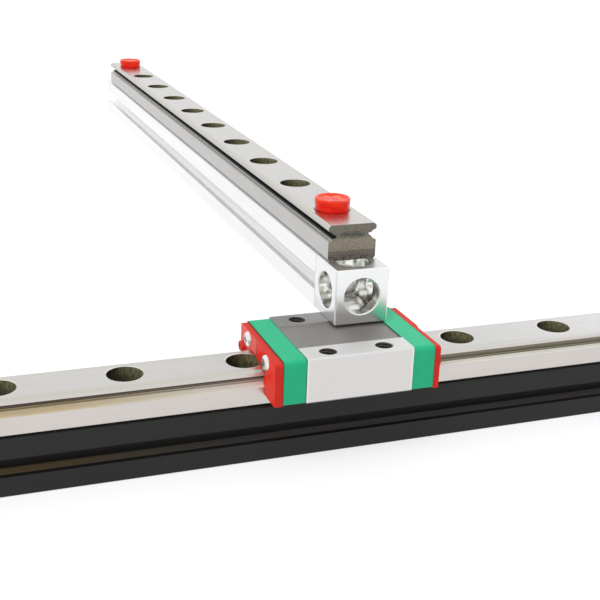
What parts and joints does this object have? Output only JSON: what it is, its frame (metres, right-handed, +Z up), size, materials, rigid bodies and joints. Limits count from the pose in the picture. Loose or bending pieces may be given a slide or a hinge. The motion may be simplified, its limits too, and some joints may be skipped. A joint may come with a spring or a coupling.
{
  "type": "linear slide",
  "caption": "Miniature ball-bearing linear slide: carriage on a profile rail and T-slot beam, carrying a corner cube, cross beam and second rail.",
  "frame": {"origin": "centre of the base beam's left end face, at the mouth of its tapped core bore", "axes": "+X along the base beam and lower rail, +Y along the cross beam away from the base, +Z up"},
  "size_m": [0.2, 0.2225, 0.0388],
  "materials": {
    "black_anodised": "satin black anodised",
    "clear_anodised": "satin clear anodised",
    "rail_steel": "finely ground",
    "block_steel": "ground, with a rough unground band",
    "cap_green": "moulded, satin",
    "seal_red": "moulded, satin",
    "stop_red": "glossy translucent",
    "guide_plastic": "moulded, natural",
    "ball_steel": "polished",
    "wire_steel": "drawn",
    "screw_black": "black oxide",
    "screw_bright": "bright zinc plate",
    "nut_steel": "plated"
  },
  "bodies": {
    "base": {"base_beam": "black_anodised", "lower_rail": "rail_steel", "lower_rail_screws": "screw_black", "lower_slot_nuts": "nut_steel"},
    "carriage": {"carriage_block": "block_steel", "end_cap_left": "cap_green", "end_cap_right": "cap_green", "return_guides_left": "guide_plastic", "return_guides_right": "guide_plastic", "end_seal_left": "seal_red", "end_seal_right": "seal_red", "seal_screws_left": "screw_bright", "seal_screws_right": "screw_bright", "port_plug_left": "seal_red", "port_plug_right": "seal_red", "balls_front": "ball_steel", "balls_rear": "ball_steel", "retainer_wire_front": "wire_steel", "retainer_wire_rear": "wire_steel", "corner_cube": "clear_anodised", "cube_screw_down": "screw_bright", "cube_screw_back": "screw_bright", "cross_beam": "clear_anodised", "upper_rail": "rail_steel", "upper_rail_screws": "screw_black", "upper_slot_nuts": "nut_steel"},
    "lower_stop_left_plug": {"lower_stop_left": "stop_red"},
    "lower_stop_right_plug": {"lower_stop_right": "stop_red"},
    "upper_stop_near_plug": {"upper_stop_near": "stop_red"},
    "upper_stop_far_plug": {"upper_stop_far": "stop_red"}
  },
  "joints": [
    {"name": "carriage_slide", "type": "slide", "parent": "base", "child": "carriage", "axis": [1, 0, 0], "range_m": [-0.0787, 0.0645]},
    {"name": "lower_stop_left_pull", "type": "slide", "parent": "base", "child": "lower_stop_left_plug", "axis": [0, 0, 1], "range_m": [0, 0.006]},
    {"name": "lower_stop_right_pull", "type": "slide", "parent": "base", "child": "lower_stop_right_plug", "axis": [0, 0, 1], "range_m": [0, 0.006]},
    {"name": "upper_stop_near_pull", "type": "slide", "parent": "carriage", "child": "upper_stop_near_plug", "axis": [0, 0, 1], "range_m": [0, 0.006]},
    {"name": "upper_stop_far_pull", "type": "slide", "parent": "carriage", "child": "upper_stop_far_plug", "axis": [0, 0, 1], "range_m": [0, 0.006]}
  ]
}
